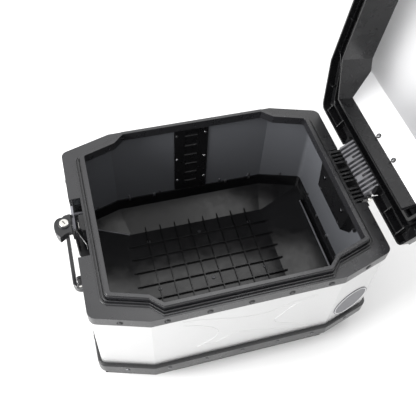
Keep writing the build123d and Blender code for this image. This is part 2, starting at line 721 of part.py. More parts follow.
def seal_channel():
    """Upright walls that hold the seal over the case's lip, and one more wall outside them."""
    low = FLANGE_Z + SEAL_LOW + 1.5
    high = FLANGE_Z + LID_RIM_H
    outer = lip_ring(SEAL_SHARES[0] - 0.12, SEAL_SHARES[0], low, high)
    inner = lip_ring(SEAL_SHARES[1], SEAL_SHARES[1] + 0.12, low, high)
    backing = lip_ring(SEAL_SHARES[0], SEAL_SHARES[1], FLANGE_Z + SEAL_HIGH, high)
    moat = lip_ring(0.02, 0.11, FLANGE_Z + CELL_INNER_Z, high)
    return (outer + inner + backing + moat) & under_deck()


def lid_ribs():
    """Ribs that divide the room under the deck, and a walled cell near each corner of the ends."""
    high = FLANGE_Z + LID_RIM_H
    rib_points = [(CELL_OUTER_X + 6, FLANGE_Z + 1), (CELL_OUTER_X, FLANGE_Z + 1),
                  (CELL_INNER_X, FLANGE_Z + CELL_INNER_Z), (CELL_INNER_X, high), (CELL_OUTER_X + 6, high)]
    ribs = []
    for y0, y1 in ((CELL_Y0, CELL_Y1), (-CELL_Y1, -CELL_Y0)):
        for y in (y0, y1):
            ribs.append(side_profile(rib_points, y - CELL_WALL_T / 2, y + CELL_WALL_T / 2))
        ribs.append(block(CELL_OUTER_X - CELL_WALL_T, CELL_OUTER_X, y0, y1, FLANGE_Z + 1.6, high))
        ribs.append(block(CELL_INNER_X, CELL_INNER_X + CELL_WALL_T, y0, y1,
                          FLANGE_Z + CELL_INNER_Z - 0.6, high))
    ribs += [mirror(rib, Plane.YZ) for rib in ribs]
    low = FLANGE_Z + LID_RIB_LOW
    for side in (-1, 1):
        wall_y = side * (CASE_WIDTH / 2 - 1)
        for k in range(-2, 3):
            x = k * RIVET_PITCH
            ribs.append(block(x - LID_RIB_T / 2, x + LID_RIB_T / 2, wall_y, wall_y - side * LONG_RIB_LENGTH,
                              low, high))
    for x_side in (-1, 1):
        for y_side in (-1, 1):
            mid_x = x_side * (LONG_BEND_X + CASE_LENGTH / 2) / 2
            mid_y = y_side * (CASE_WIDTH / 2 + END_BEND_Y) / 2
            turn = Rot(0, 0, -x_side * y_side * degrees(CHAMFER_ANGLE))
            rib = Box(LID_RIB_T, CHAMFER_RIB_LENGTH, high - low)
            ribs.append(Pos(mid_x, mid_y, (low + high) / 2) * turn * rib)
    grid = ribs[0]
    for rib in ribs[1:]:
        grid += rib
    return (grid - lip_prism(0.44, FLANGE_Z, high + 5)) & under_deck()


def lid_bosses():
    """Flat seats under the deck for the hinge comb and for the striker's foot."""
    high = FLANGE_Z + LID_RIM_H + 0.2
    hinge_seat = block(COMB_SEAT_X, 237.5, -COMB_HALF, COMB_HALF, FLANGE_Z + COMB_SEAT_H, high)
    striker_seat = block(-237.5, -222, BOLT_Y - 11, BOLT_Y + 11, FLANGE_Z + 15, high)
    return hinge_seat + striker_seat


def latch_relief():
    """Gap in the lid's skirt where the lever and its bracket stand."""
    y0, y1 = LEVER_EAR_Y[0] - 5, LEVER_EAR_Y[1] + 5.5
    return block(-CASE_LENGTH / 2 - 1, RELIEF_X, y0, y1, FLANGE_Z, FLANGE_Z + RELIEF_H)


def comb_seat():
    """Slot in the lid's hinge-side skirt that the lid comb fills."""
    return block(COMB_SEAT_X - 0.6, CASE_LENGTH / 2 + 1, -COMB_HALF, COMB_HALF, FLANGE_Z,
                 FLANGE_Z + COMB_SEAT_H)


def lid_sheet():
    skin = lid_roof(0, 20) - lid_roof(LID_SHEET_T, 19)
    skin &= prism(hall_quadrant(LID_WALL_T), FLANGE_Z + 22, FLANGE_Z + LID_TOP + 1)
    for shape in lid_screws():
        skin -= shape
    return skin


def lid_seal():
    low = FLANGE_Z + SEAL_LOW
    high = FLANGE_Z + SEAL_HIGH
    return lip_ring(SEAL_SHARES[0], SEAL_SHARES[1], low, high)


def lid_comb():
    """Black root bar in the lid's hinge-side skirt that carries the fins."""
    root = block(COMB_SEAT_X, FIN_ROOT_END_X, -COMB_HALF + 0.5, COMB_HALF - 0.5, FLANGE_Z + FIN_ROOT_LOW,
                 FLANGE_Z + COMB_SEAT_H)
    for side in (-1, 1):
        root += block(COMB_SEAT_X, CHEEK_X, side * CHEEK_INNER_Y, side * (COMB_HALF - 0.5),
                      FLANGE_Z + CHEEK_LOW, FLANGE_Z + COMB_SEAT_H)
    for shape in lid_comb_screws():
        root -= shape
    return root


def lid_fins():
    """Light fins that stand on the lid's root bar and turn on the hinge pin; two pairs are joined."""
    toe = (FIN_TOE_X, FLANGE_Z + FIN_TOE_Z)
    heel = (FIN_HEEL_X, FLANGE_Z + FIN_HEEL_Z)
    root_low = FLANGE_Z + FIN_ROOT_LOW
    fin_points = [toe, heel, (FIN_HEEL_X + 3, FLANGE_Z + FIN_HEEL_Z), (HINGE_X, HINGE_Z - KNUCKLE_R),
                  (HINGE_X, HINGE_Z + KNUCKLE_R), (FIN_ROOT_END_X, root_low), (FIN_TOE_X, root_low)]
    web_points = [heel, (FIN_HEEL_X - 8, FLANGE_Z + FIN_HEEL_Z + 7.8), (FIN_HEEL_X - 3, HINGE_Z),
                  (HINGE_X - KNUCKLE_R - 0.5, FLANGE_Z - 4)]
    fins = []
    for index in range(FIN_COUNT):
        y = fin_y(index)
        fin = side_profile(fin_points, y - FIN_T / 2, y + FIN_T / 2)
        fin += rod((HINGE_X, y - FIN_T / 2, HINGE_Z), (HINGE_X, y + FIN_T / 2, HINGE_Z), KNUCKLE_R)
        fin -= rod((HINGE_X, -COMB_HALF, HINGE_Z), (HINGE_X, COMB_HALF, HINGE_Z), PIN_R + RUN_CLEARANCE)
        fins.append(fin)
    for first, second in reversed(JOINED_FINS):
        web = side_profile(web_points, fin_y(second), fin_y(first))
        fins[first] = fins[first] + web + fins[second]
        del fins[second]
    return fins


def lid_comb_screws():
    """Two screws that draw the root bar up against the lid's deck, between fins."""
    screws = []
    for index in COMB_SCREW_GAPS:
        screws.append(screw(COMB_SCREW_X, fin_y(index), FLANGE_Z + FIN_ROOT_LOW, (0, 0, -1), 2.3, 0.9, 1.6,
                            7.0, 1.1))
    return screws


def lid_screws():
    """Two screws that hold the skin's hinge-side facet to the frame's wall, and two on the far end."""
    screws = []
    rise = LID_TOP - LID_WALL_TOP
    run = LID_HALL_X - LID_FOLD_X
    angle = atan2(rise, run)
    for side in (-1, 1):
        for y in LID_SCREW_Y:
            z = FLANGE_Z + LID_WALL_TOP + 3.0 * rise / run
            normal = (side * sin(angle), 0, cos(angle))
            screws.append(screw(side * (LID_HALL_X - 3.0), y, z, normal, 3.0, 1.4, 1.6, 4.9, 1.3))
    return screws


def lid_striker():
    """Plate with a window that hangs from the lid into the latch pocket."""
    y0, y1 = BOLT_Y - STRIKER_HALF, BOLT_Y + STRIKER_HALF
    plate = block(STRIKER_X - STRIKER_T / 2, STRIKER_X + STRIKER_T / 2, y0, y1, BOLT_Z - 7,
                  FLANGE_Z + LID_RIM_H - 5)
    foot = block(STRIKER_X, STRIKER_FOOT_X, y0, y1, FLANGE_Z + STRIKER_FOOT_Z, FLANGE_Z + 15)
    window = block(STRIKER_X - 2, STRIKER_X + 2, BOLT_Y - BOLT_W / 2 - 0.6, BOLT_Y + BOLT_W / 2 + 0.6,
                   BOLT_Z - BOLT_H / 2 - 0.6, BOLT_Z + BOLT_H / 2 + 0.6)
    striker = plate + foot - window
    for shape in lid_striker_screws():
        striker -= shape
    return striker


def lid_striker_screws():
    screws = []
    for y in (BOLT_Y - STRIKER_SCREW_HALF, BOLT_Y + STRIKER_SCREW_HALF):
        screws.append(screw(STRIKER_SCREW_X, y, FLANGE_Z + STRIKER_FOOT_Z, (0, 0, -1), 2.6, 1.6, 1.5, 5.5,
                            1.3))
    return screws


# ---- Latch and lock ----------------------------------------------------------------------------------
def latch_housing():
    """Black pocket in the lock end's wall, open to the top and to the outside."""
    outer_x = -CASE_LENGTH / 2 + SHEET_INSET
    inner_x = -CASE_LENGTH / 2 + BAND_INSET
    top = SHEET_TOP_Z
    half = NOTCH_HALF
    pocket = block(outer_x, POCKET_BACK_X + POCKET_T, -half - POCKET_T, half + POCKET_T,
                   POCKET_FLOOR_Z - POCKET_T, FLANGE_Z - SKIRT_DEPTH)
    frame = block(inner_x, inner_x + BAND_T, -half - 12, half + 12, 132, FLANGE_Z - RIM_BAND_DEPTH)
    upper = block(NOTCH_X, POCKET_BACK_X + POCKET_T, -half, half, FLANGE_Z - SKIRT_DEPTH, top)
    housing = pocket + frame + upper
    housing -= block(outer_x - 1, POCKET_BACK_X, -half, half, POCKET_FLOOR_Z, FLANGE_Z + 1)
    return housing


def latch_plate():
    """Upright plate in the mouth of the pocket with a thick top edge, on two stand-offs."""
    x0 = -CASE_LENGTH / 2 + SHEET_INSET
    top = FLANGE_Z - 0.2
    plate = block(x0, PLATE_BACK_X, PLATE_Y0, PLATE_Y1, POCKET_FLOOR_Z, top)
    for y0, y1 in ((PLATE_Y0, LEVER_EAR_Y[1] - 0.3), (LEVER_EAR_Y[1] + LEVER_EAR_T + 0.3, PLATE_Y1)):
        plate += block(PLATE_FRONT_X, PLATE_BACK_X, y0, y1, top - PLATE_CAP_H, top)
    for z in (208, 230):
        plate += rod((PLATE_BACK_X, 40, z), (POCKET_BACK_X, 40, z), 3)
    return plate


def latch_block():
    """Guide block for the bolt, fixed to the pocket's back wall."""
    body = block(GUIDE_FRONT_X, POCKET_BACK_X, BOLT_Y - GUIDE_HALF, BOLT_Y + GUIDE_HALF, GUIDE_LOW_Z,
                 FLANGE_Z - 3)
    body = chamfer(body.edges().filter_by(Axis.Z).sort_by(Axis.X)[:2], 4.0)
    body = chamfer(body.faces().sort_by(Axis.Z)[-1].edges(), 1.2)
    half_w = BOLT_W / 2 + BOLT_CLEARANCE
    half_h = BOLT_H / 2 + BOLT_CLEARANCE
    slot = block(GUIDE_FRONT_X - 1, BOLT_REAR_X + 1, BOLT_Y - half_w, BOLT_Y + half_w,
                 BOLT_Z - half_h, BOLT_Z + half_h)
    return body - slot


def latch_bolt():
    """Sliding tongue that catches the lid's striker."""
    bolt = block(BOLT_FRONT_X, BOLT_REAR_X, BOLT_Y - BOLT_W / 2, BOLT_Y + BOLT_W / 2,
                 BOLT_Z - BOLT_H / 2, BOLT_Z + BOLT_H / 2)
    edge = bolt.edges().filter_by(Axis.Y).group_by(Axis.X)[0].sort_by(Axis.Z)[-1:]
    return chamfer(edge, 0.8)


def latch_spring():
    """Bent spring leg from the plate across the open half of the pocket."""
    start = (-237.0, PLATE_Y0 - 0.1, FLANGE_Z - 1)
    knee = (POCKET_BACK_X - 3.5, -SPRING_FOOT_Y, FLANGE_Z - 3)
    ankle = (POCKET_BACK_X - 3.5, -SPRING_FOOT_Y, FLANGE_Z - 16)
    foot = (POCKET_BACK_X, -SPRING_FOOT_Y, FLANGE_Z - 16)
    spring = rod(start, knee, SPRING_R) + rod(knee, ankle, SPRING_R) + rod(ankle, foot, SPRING_R)
    return spring + Pos(*knee) * Sphere(SPRING_R) + Pos(*ankle) * Sphere(SPRING_R)


def lever_bracket():
    """Two ears for the lever's pin on a plate in front of the pocket."""
    wall_x = -CASE_LENGTH / 2 + SHEET_INSET
    plate = block(wall_x - 2.4, wall_x, -13, 24, 184, FLANGE_Z - 6)
    ears = []
    for y0 in LEVER_EAR_Y:
        y1 = y0 + LEVER_EAR_T
        ear = block(LEVER_PIVOT_X + EAR_SET_BACK, wall_x, y0, y1, 236, LEVER_PIVOT_Z)
        ear += rod((LEVER_PIVOT_X, y0, LEVER_PIVOT_Z), (LEVER_PIVOT_X, y1, LEVER_PIVOT_Z), 3.6)
        ear += block(LEVER_PIVOT_X, wall_x, y0, y1, LEVER_PIVOT_Z - 1, LEVER_PIVOT_Z + 1)
        ears.append(ear)
    bracket = plate + ears[0] + ears[1]
    bracket -= rod((LEVER_PIVOT_X, -20, LEVER_PIVOT_Z), (LEVER_PIVOT_X, 30, LEVER_PIVOT_Z), LEVER_PIN_R)
    return bracket


def lever_pin():
    return rod((LEVER_PIVOT_X, -14, LEVER_PIVOT_Z), (LEVER_PIVOT_X, 25, LEVER_PIVOT_Z), LEVER_PIN_R)


def lock_lever():
    """Lever head: a curved finger shell, a round lock boss, a second hump and a neck on the pivot."""
    low = FLANGE_Z + 0.6
    y0, y1 = LEVER_EAR_Y[0] + LEVER_EAR_T + 0.3, LEVER_EAR_Y[1] - 0.3
    outline = Spline((LEVER_FRONT_X, 13.0), (-252.5, 14.4), (-261.4, 13.2), (-266.8, 6.0),
                     (-267.9, -3.0), (-266.4, -13.5), (-260.4, -24.6))
    tip = Line((-260.4, -24.6), (-257.2, -22.8))
    hollow = Spline((-257.2, -22.8), (-251.5, -19.2), (LEVER_FRONT_X, -17.0))
    back = Line((LEVER_FRONT_X, -17.0), (LEVER_FRONT_X, 13.0))
    shell = extrude(make_face([outline, tip, hollow, back]), LEVER_SHELL_H)
    shell = fillet(shell.faces().sort_by(Axis.Z)[-1].edges(), LEVER_EDGE_R)
    shell = Pos(0, 0, low) * shell
    boss = Pos(LOCK_X, 0, (low + LOCK_TOP_Z - 1.5) / 2) * Cylinder(LOCK_R + 2.4, LOCK_TOP_Z - 1.5 - low)
    hump_top = FLANGE_Z + LEVER_SHELL_H + 1.5
    hump = Pos(LEVER_FRONT_X - 6, 9, (low + hump_top) / 2) * Cylinder(8.4, hump_top - low)
    neck = rod((LEVER_PIVOT_X, y0, LEVER_PIVOT_Z), (LEVER_PIVOT_X, y1, LEVER_PIVOT_Z), 3.4)
    lever = shell + fillet(boss.faces().sort_by(Axis.Z)[-1].edges(), 1.2)
    lever += fillet(hump.faces().sort_by(Axis.Z)[-1].edges(), 2.4) + neck
    lever &= block(LOCK_X - 20, LEVER_FRONT_X, -40, 40, low - 3, LOCK_TOP_Z) + neck
    for side_y, end_y in ((-40, y0), (y1, 40)):
        lever -= block(LEVER_PIVOT_X - 4.3, LEVER_PIVOT_X + 6, side_y, end_y, low - 4,
                       LEVER_PIVOT_Z + 4.4)
    lever -= rod((LEVER_PIVOT_X, -30, LEVER_PIVOT_Z), (LEVER_PIVOT_X, 40, LEVER_PIVOT_Z),
                 LEVER_PIN_R + RUN_CLEARANCE)
    lever -= Pos(LOCK_X, 0, LOCK_TOP_Z - 6) * Cylinder(LOCK_R + RUN_CLEARANCE, 12)
    return lever


def lock_barrel():
    """Key cylinder with a slot, turning in the lever's boss."""
    length = 11.5
    barrel = Pos(LOCK_X, 0, LOCK_TOP_Z - length / 2) * Cylinder(LOCK_R, length)
    barrel = chamfer(barrel.faces().sort_by(Axis.Z)[-1].edges(), 0.8)
    slot = Pos(LOCK_X, 0, LOCK_TOP_Z - 3) * Rot(0, 0, 30) * Box(1.6, 7.5, 8)
    return barrel - slot


# ---- Carry handle --------------------------------------------------------------------------------------
def handle_path_solid():
    """Bail: a U-shaped grip with rounded corners, and a lug up to the pivot at each end."""
    height = HANDLE_TOP_Z - HANDLE_LOW_Z
    depth = HANDLE_END_X - HANDLE_OUT_X
    outer = Pos((HANDLE_OUT_X + HANDLE_END_X) / 2, 0, HANDLE_LOW_Z + height / 2) * Box(
        depth, 2 * HANDLE_HALF, height)
    outer = fillet(outer.edges().filter_by(Axis.Z).sort_by(Axis.X)[:2], HANDLE_CORNER_R)
    outer = fillet(outer.faces().sort_by(Axis.Z)[-1].edges(), 2.4)
    inner_half = HANDLE_HALF - HANDLE_ARM_T
    inner = block(HANDLE_IN_X, HANDLE_END_X + 5, -inner_half, inner_half, HANDLE_LOW_Z - 1,
                  HANDLE_TOP_Z + 1)
    inner = fillet(inner.edges().filter_by(Axis.Z).sort_by(Axis.X)[:2], HANDLE_CORNER_R / 2)
    handle = outer - inner
    for side in (-1, 1):
        y0, y1 = sorted((side * inner_half, side * HANDLE_HALF))
        handle += block(HANDLE_PIVOT_X - 4.2, HANDLE_END_X, y0, y1, HANDLE_LOW_Z + 4, HANDLE_PIVOT_Z)
        handle += rod((HANDLE_PIVOT_X, y0, HANDLE_PIVOT_Z), (HANDLE_PIVOT_X, y1, HANDLE_PIVOT_Z), 4.2)
    return handle


def carry_handle():
    handle = handle_path_solid()
    return handle - rod((HANDLE_PIVOT_X, -HANDLE_HALF - 5, HANDLE_PIVOT_Z),
                        (HANDLE_PIVOT_X, HANDLE_HALF + 5, HANDLE_PIVOT_Z), HANDLE_PIN_R + RUN_CLEARANCE)


def handle_brackets():
    """Two wall brackets, each with a pair of ears either side of a handle arm."""
    wall_x = -CASE_LENGTH / 2 + SHEET_INSET
    brackets = []
    for side in (-1, 1):
        y_in = side * (HANDLE_HALF - HANDLE_ARM_T - 0.4)
        y_out = side * (HANDLE_HALF + 0.4)
        low, high = sorted((y_in - side * 4, y_out + side * 4))
        shape = block(wall_x - 2.2, wall_x, low, high, HANDLE_PIVOT_Z - 10, HANDLE_PIVOT_Z + 10)
        for a, b in ((y_in - side * 4, y_in), (y_out, y_out + side * 4)):
            y0, y1 = sorted((a, b))
            shape += block(HANDLE_PIVOT_X, wall_x, y0, y1, HANDLE_PIVOT_Z - 5, HANDLE_PIVOT_Z + 5)
            shape += rod((HANDLE_PIVOT_X, y0, HANDLE_PIVOT_Z), (HANDLE_PIVOT_X, y1, HANDLE_PIVOT_Z), 5.0)
        shape -= rod((HANDLE_PIVOT_X, low - 1, HANDLE_PIVOT_Z), (HANDLE_PIVOT_X, high + 1, HANDLE_PIVOT_Z),
                     HANDLE_PIN_R)
        brackets.append(shape)
    return brackets


def handle_pins():
    pins = []
    for side in (-1, 1):
        ends = (side * (HANDLE_HALF - HANDLE_ARM_T - 4.4), side * (HANDLE_HALF + 4.4))
        pins.append(rod((HANDLE_PIVOT_X, min(ends), HANDLE_PIVOT_Z),
                        (HANDLE_PIVOT_X, max(ends), HANDLE_PIVOT_Z), HANDLE_PIN_R))
    return pins


def badge():
    """Plain round plate on the front chamfer of the hinge end, with a raised rim."""
    normal = Vector(sin(CHAMFER_ANGLE), -cos(CHAMFER_ANGLE), 0)
    mid = Vector((LONG_BEND_X + CASE_LENGTH / 2) / 2, -(CASE_WIDTH / 2 + END_BEND_Y) / 2, 0)
    centre = mid - normal * SHEET_INSET + Vector(0, 0, BADGE_Z)
    plane = Plane(origin=centre, x_dir=(cos(CHAMFER_ANGLE), sin(CHAMFER_ANGLE), 0), z_dir=normal)
    plate = extrude(plane * Circle(BADGE_R), 1.2)
    return plate - extrude(plane.offset(0.8) * Circle(BADGE_R - 2), 1.0)


# ---- Build and write -----------------------------------------------------------------------------------
def main():
    wall = SKIRT_T + SHEET_T + BAND_T
    rim_set = rivet_row(RIM_RIVET_Z, wall)
    trim_set = rivet_row(TRIM_RIVET_Z, TRIM_STAND_OUT + BAND_INSET, TRIM_STAND_OUT)
    seam_set = seam_rivets()
    nodes = {
        "base_tray": base_tray(),
        "tray_clips": group(tray_clips()),
        "body_sheet": body_sheet(rim_set + trim_set + seam_set + hinge_cover_screws()),
        "rim_frame": rim_frame(rim_set),
        "lower_trim": lower_trim(trim_set),
        "seam_strip_inner": seam_strip_inner(seam_set + trim_set),
        "seam_strip_outer": seam_strip_outer(seam_set),
        "rim_rivets": group(rim_set),
        "trim_rivets": group(trim_set),
        "seam_rivets": group(seam_set),
        "floor_screws": group(floor_screws()),
        "base_inserts": group(base_inserts()),
        "feet": group(feet()),
        "badge": badge(),
        "hinge_bracket": hinge_bracket(),
        "bracket_screws": group(bracket_screws()),
        "hinge_pin": hinge_pin(),
        "pin_clips": group(pin_clips()),
        "hinge_cover": hinge_cover(),
        "hinge_cover_screws": group(hinge_cover_screws()),
        "latch_housing": latch_housing(),
        "latch_plate": latch_plate(),
        "latch_block": latch_block(),
        "latch_bolt": latch_bolt(),
        "latch_spring": latch_spring(),
        "lever_bracket": lever_bracket(),
        "lever_pin": lever_pin(),
        "lock_lever": lock_lever(),
        "lock_barrel": lock_barrel(),
        "carry_handle": carry_handle(),
        "handle_brackets": group(handle_brackets()),
        "handle_pins": group(handle_pins()),
    }
    lid_nodes = {
        "lid_frame": lid_frame(),
        "lid_sheet": lid_sheet(),
        "lid_seal": lid_seal(),
        "lid_comb": lid_comb(),
        "lid_fins": group(lid_fins()),
        "lid_comb_screws": group(lid_comb_screws()),
        "lid_screws": group(lid_screws()),
        "lid_striker": lid_striker(),
        "lid_striker_screws": group(lid_striker_screws()),
    }
    for name, shape in lid_nodes.items():
        nodes[name] = swung_open(shape)
    os.makedirs("parts", exist_ok=True)
    for name, shape in nodes.items():
        export_step(shape, f"parts/{name}.step")
        print(name, len(shape.solids()), round(shape.volume / 1000, 1))


main()
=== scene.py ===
"""Looks for the hard luggage case: materials, detailed meshes, floor, light and camera.

Metres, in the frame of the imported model: +Z up, +X towards the hinge end, origin at the base.
"""
import json
from math import atan2, cos, pi, radians, sin

import bmesh
import bpy
from mathutils import Matrix, Vector


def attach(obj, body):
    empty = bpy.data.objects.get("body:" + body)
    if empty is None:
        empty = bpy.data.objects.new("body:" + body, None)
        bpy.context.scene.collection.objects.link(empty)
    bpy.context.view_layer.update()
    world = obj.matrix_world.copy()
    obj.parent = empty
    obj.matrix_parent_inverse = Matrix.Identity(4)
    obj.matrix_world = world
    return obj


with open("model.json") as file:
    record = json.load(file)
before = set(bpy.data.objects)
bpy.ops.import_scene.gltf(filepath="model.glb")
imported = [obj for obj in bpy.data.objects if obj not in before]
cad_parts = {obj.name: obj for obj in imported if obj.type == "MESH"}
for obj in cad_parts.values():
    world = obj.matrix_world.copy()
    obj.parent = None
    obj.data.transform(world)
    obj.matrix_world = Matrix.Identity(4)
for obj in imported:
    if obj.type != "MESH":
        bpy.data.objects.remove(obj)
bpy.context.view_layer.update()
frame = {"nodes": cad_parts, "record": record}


# ---- Camera ----------------------------------------------------------------------------------
def make_camera():
    """The view of the reference: from above the front, a little left of the middle."""
    camera = bpy.data.cameras.new("camera")
    camera.lens = 50.0
    camera.sensor_width = 36.0
    camera.clip_end = 20.0
    holder = bpy.data.objects.new("camera", camera)
    bpy.context.scene.collection.objects.link(holder)
    right = Vector((0.96469, -0.26045, 0.03918))
    down = Vector((-0.18723, -0.78278, -0.59347))
    ahead = Vector((0.18524, 0.56518, -0.80391))
    place = Vector((-0.19718, -0.54880, 1.01304))
    turn = Matrix((right, -down, -ahead)).transposed().to_4x4()
    turn.translation = place
    holder.matrix_world = turn
    bpy.context.scene.camera = holder


# ---- Light and floor -------------------------------------------------------------------------
SKY_STRENGTH = 1.2
FLOOR_HALF = 6.0
FLOOR_GREY = 0.70
FLOOR_ROUGHNESS = 0.8
LIGHTS = (                   # name, place, target, size, watts
    ("side_box", (-1.8, -0.30, 1.05), (0.2, 0.0, 0.22), (1.0, 1.0), 80),
    ("top_box", (0.55, 0.35, 1.6), (0.1, 0.0, 0.1), (1.7, 0.8), 8),
)


def area_light(name, place, target, size, power):
    """A rectangular soft box at place, facing target."""
    light = bpy.data.lights.new(name, "AREA")
    light.shape = "RECTANGLE"
    light.size, light.size_y = size
    light.energy = power
    holder = bpy.data.objects.new(name, light)
    bpy.context.scene.collection.objects.link(holder)
    direction = Vector(target) - Vector(place)
    holder.location = place
    holder.rotation_euler = direction.to_track_quat("-Z", "Y").to_euler()


def make_world():
    """Even white light from all round."""
    world = bpy.data.worlds.new("studio")
    bpy.context.scene.world = world
    world.use_nodes = True
    background = world.node_tree.nodes["Background"]
    background.inputs["Color"].default_value = (1.0, 1.0, 1.0, 1)
    background.inputs["Strength"].default_value = SKY_STRENGTH
    bpy.context.scene.view_settings.view_transform = "Standard"
    bpy.context.scene.view_settings.look = "None"


def make_floor():
    """A plain pale floor under the case."""
    mesh = bpy.data.meshes.new("floor")
    corners = [(x * FLOOR_HALF, y * FLOOR_HALF, 0) for x, y in ((-1, -1), (1, -1), (1, 1), (-1, 1))]
    mesh.from_pydata(corners, [], [(0, 1, 2, 3)])
    floor = bpy.data.objects.new("floor", mesh)
    bpy.context.scene.collection.objects.link(floor)
    material, tree, shader = new_material("floor_paper")
    shader.inputs["Base Color"].default_value = (FLOOR_GREY, FLOOR_GREY, FLOOR_GREY, 1)
    shader.inputs["Roughness"].default_value = FLOOR_ROUGHNESS
    floor.data.materials.append(material)


# ---- Materials -------------------------------------------------------------------------------
EDGE_R = 0.0009              # rounding of moulded edges
RAMP_FROM, RAMP_TO = 0.35, 0.65  # the part of a noise pattern that a ramp spreads out
CLOUD_SCALE = 14.0           # slow change of colour in moulded plastic
GLOSS_SCALE = 60.0           # patches of gloss in moulded plastic
GLOSS_SPREAD = 0.04
GRAIN_SCALE = 2200.0         # spark-eroded grain
GRAIN_DEPTH = 0.00005
BRUSH_SCALE = 60.0           # drawn lines in metal
BRUSH_STRETCH = (1, 40, 40)
BRUSH_DEPTH = 0.00003
SHEET_SCALE = 50.0           # rolled lines in the wall sheet
SHEET_STRETCH = (1, 1, 60)
RUBBER_ROUGHNESS = 0.75
RUBBER_DEPTH = 0.00008


def new_material(name):
    material = bpy.data.materials.new(name)
    material.use_nodes = True
    tree = material.node_tree
    return material, tree, tree.nodes["Principled BSDF"]


def object_coordinates(tree):
    return tree.nodes.new("ShaderNodeTexCoord").outputs["Object"]


def noise(tree, scale, detail=2.0, roughness=0.5, stretch=None):
    """A noise pattern in object space; stretch scales the coordinates first."""
    node = tree.nodes.new("ShaderNodeTexNoise")
    node.inputs["Scale"].default_value = scale
    node.inputs["Detail"].default_value = detail
    node.inputs["Roughness"].default_value = roughness
    source = object_coordinates(tree)
    if stretch:
        mapping = tree.nodes.new("ShaderNodeMapping")
        mapping.inputs["Scale"].default_value = stretch
        tree.links.new(source, mapping.inputs["Vector"])
        source = mapping.outputs["Vector"]
    tree.links.new(source, node.inputs["Vector"])
    return node.outputs["Fac"]


def ramp(tree, source, low, high):
    """Turn a pattern into colours or greys between two values."""
    node = tree.nodes.new("ShaderNodeValToRGB")
    node.color_ramp.elements[0].position = RAMP_FROM
    node.color_ramp.elements[1].position = RAMP_TO
    node.color_ramp.elements[0].color = (*low, 1)
    node.color_ramp.elements[1].color = (*high, 1)
    tree.links.new(source, node.inputs["Fac"])
    return node.outputs["Color"]


def bump(tree, shader, height, strength, distance, edge=0.0):
    """Fine relief; edge, if given, rounds the light on sharp edges to that radius."""
    node = tree.nodes.new("ShaderNodeBump")
    if edge > 0:
        rounded = tree.nodes.new("ShaderNodeBevel")
        rounded.samples = 4
        rounded.inputs["Radius"].default_value = edge
        tree.links.new(rounded.outputs["Normal"], node.inputs["Normal"])
    node.inputs["Strength"].default_value = strength
    node.inputs["Distance"].default_value = distance
    tree.links.new(height, node.inputs["Height"])
    tree.links.new(node.outputs["Normal"], shader.inputs["Normal"])


def moulded_plastic(name, colour, roughness, relief=0.15, specular=0.5, edge=EDGE_R):
    """Moulded plastic: fine spark-eroded grain, slight cloudiness in colour and gloss."""
    material, tree, shader = new_material(name)
    cloud = noise(tree, CLOUD_SCALE, 4.0)
    darker = tuple(c * 0.88 for c in colour)
    lighter = tuple(c * 1.12 for c in colour)
    tree.links.new(ramp(tree, cloud, darker, lighter), shader.inputs["Base Color"])
    gloss = ramp(tree, noise(tree, GLOSS_SCALE, 3.0), (roughness - GLOSS_SPREAD,) * 3,
                 (roughness + GLOSS_SPREAD,) * 3)
    tree.links.new(gloss, shader.inputs["Roughness"])
    shader.inputs["Specular IOR Level"].default_value = specular
    bump(tree, shader, noise(tree, GRAIN_SCALE, 1.0), relief, GRAIN_DEPTH, edge)
    return material


def brushed_metal(name, colour, roughness, metallic=1.0):
    """Metal with fine drawn lines along one direction."""
    material, tree, shader = new_material(name)
    lines = noise(tree, BRUSH_SCALE, 3.0, 0.6, BRUSH_STRETCH)
    darker = tuple(c * 0.93 for c in colour)
    tree.links.new(ramp(tree, lines, darker, colour), shader.inputs["Base Color"])
    gloss = ramp(tree, lines, (roughness * 0.85,) * 3, (roughness * 1.15,) * 3)
    tree.links.new(gloss, shader.inputs["Roughness"])
    shader.inputs["Metallic"].default_value = metallic
    bump(tree, shader, lines, 0.12, BRUSH_DEPTH)
    return material


def two_sided_sheet(name, outside, inside):
    """Sheet that is bare satin aluminium outside and dark coated inside."""
    material, tree, shader = new_material(name)
    geometry = tree.nodes.new("ShaderNodeNewGeometry")
    flat = tree.nodes.new("ShaderNodeVectorMath")
    flat.operation = "MULTIPLY"
    flat.inputs[1].default_value = (1, 1, 0)
    tree.links.new(geometry.outputs["Position"], flat.inputs[0])
    dot = tree.nodes.new("ShaderNodeVectorMath")
    dot.operation = "DOT_PRODUCT"
    tree.links.new(flat.outputs[0], dot.inputs[0])
    tree.links.new(geometry.outputs["True Normal"], dot.inputs[1])
    side = tree.nodes.new("ShaderNodeMath")
    side.operation = "GREATER_THAN"
    side.inputs[1].default_value = 0.0
    tree.links.new(dot.outputs["Value"], side.inputs[0])
    lines = noise(tree, SHEET_SCALE, 3.0, 0.6, SHEET_STRETCH)
    mixes = [ramp(tree, lines, tuple(c * share for c in colour), colour)
             for share, colour in ((0.92, inside[0]), (0.97, outside[0]))]
    colour = tree.nodes.new("ShaderNodeMix")
    colour.data_type = "RGBA"
    tree.links.new(side.outputs[0], colour.inputs["Factor"])
    tree.links.new(mixes[0], colour.inputs["A"])
    tree.links.new(mixes[1], colour.inputs["B"])
    tree.links.new(colour.outputs["Result"], shader.inputs["Base Color"])
    for socket, index in (("Roughness", 1), ("Metallic", 2)):
        blend = tree.nodes.new("ShaderNodeMix")
        tree.links.new(side.outputs[0], blend.inputs["Factor"])
        blend.inputs["A"].default_value = inside[index]
        blend.inputs["B"].default_value = outside[index]
        tree.links.new(blend.outputs["Result"], shader.inputs[socket])
    bump(tree, shader, lines, 0.1, BRUSH_DEPTH)
    return material


